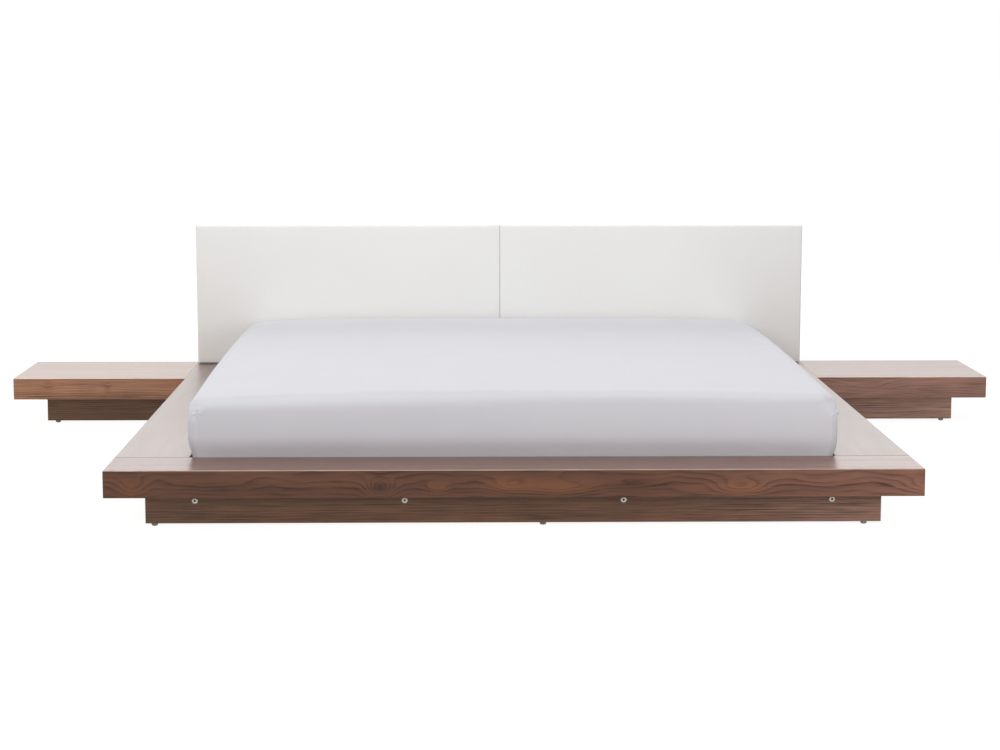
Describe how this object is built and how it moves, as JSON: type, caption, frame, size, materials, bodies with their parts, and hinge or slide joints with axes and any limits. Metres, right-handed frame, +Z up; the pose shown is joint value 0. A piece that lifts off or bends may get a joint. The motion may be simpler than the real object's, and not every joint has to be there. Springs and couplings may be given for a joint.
{
  "type": "platform bed",
  "caption": "Low walnut-veneered platform bed with a wide ledge, recessed plinth, padded headboard, sunk mattress and attached bedside tables.",
  "frame": {"origin": "on the floor under the middle of the whole bed, tables included", "axes": "+X to the right seen from the foot end, +Y towards the headboard, +Z up"},
  "size_m": [3.448, 2.3, 0.686],
  "materials": {
    "walnut_veneer": "satin",
    "panel_board": "matte",
    "pine": "matte",
    "beech": "matte",
    "faux_leather": "satin",
    "ticking": "matte",
    "bed_sheet": "matte",
    "zinc_steel": "satin",
    "black_steel": "satin",
    "glide_plastic": "satin",
    "felt": "matte",
    "lining_cloth": "matte",
    "webbing": "matte"
  },
  "bodies": {
    "bed_frame": {"barrel_nuts": "zinc_steel", "bed_glides": "glide_plastic", "front_bolts": "zinc_steel", "front_ledge": "walnut_veneer", "front_ledge_floor": "panel_board", "headboard_joining_plates": "zinc_steel", "headboard_left_back_cloth": "lining_cloth", "headboard_left_board": "panel_board", "headboard_left_pad": "faux_leather", "headboard_right_back_cloth": "lining_cloth", "headboard_right_board": "panel_board", "headboard_right_pad": "faux_leather", "headboard_spacers": "glide_plastic", "headboard_straps": "black_steel", "joist_dowels": "beech", "joist_feet": "pine", "joist_foot_pads": "felt", "ledge_brackets": "zinc_steel", "ledge_dowels": "beech", "ledge_plates": "zinc_steel", "ledge_ribs": "panel_board", "left_inner_joist": "pine", "left_ledge": "walnut_veneer", "left_ledge_floor": "panel_board", "left_outer_joist": "pine", "left_table_floor": "panel_board", "left_table_glides": "glide_plastic", "left_table_plinth_front": "walnut_veneer", "left_table_plinth_left_end": "walnut_veneer", "left_table_plinth_rear": "walnut_veneer", "left_table_plinth_right_end": "walnut_veneer", "left_table_top": "walnut_veneer", "plinth_corner_blocks": "pine", "plinth_front": "walnut_veneer", "plinth_left": "walnut_veneer", "plinth_rear": "walnut_veneer", "plinth_right": "walnut_veneer", "rear_bolts": "zinc_steel", "rear_rail": "panel_board", "right_inner_joist": "pine", "right_ledge": "walnut_veneer", "right_ledge_floor": "panel_board", "right_outer_joist": "pine", "right_table_floor": "panel_board", "right_table_glides": "glide_plastic", "right_table_plinth_front": "walnut_veneer", "right_table_plinth_left_end": "walnut_veneer", "right_table_plinth_rear": "walnut_veneer", "right_table_plinth_right_end": "walnut_veneer", "right_table_top": "walnut_veneer", "slat_webbing": "webbing", "slats": "pine", "table_link_plates": "zinc_steel", "table_ribs": "panel_board"},
    "mattress": {"mattress": "ticking", "fitted_sheet": "bed_sheet"}
  },
  "joints": [
    {"name": "mattress_lift", "type": "slide", "parent": "bed_frame", "child": "mattress", "axis": [0, 0, 1], "range_m": [0, 0.3]}
  ]
}
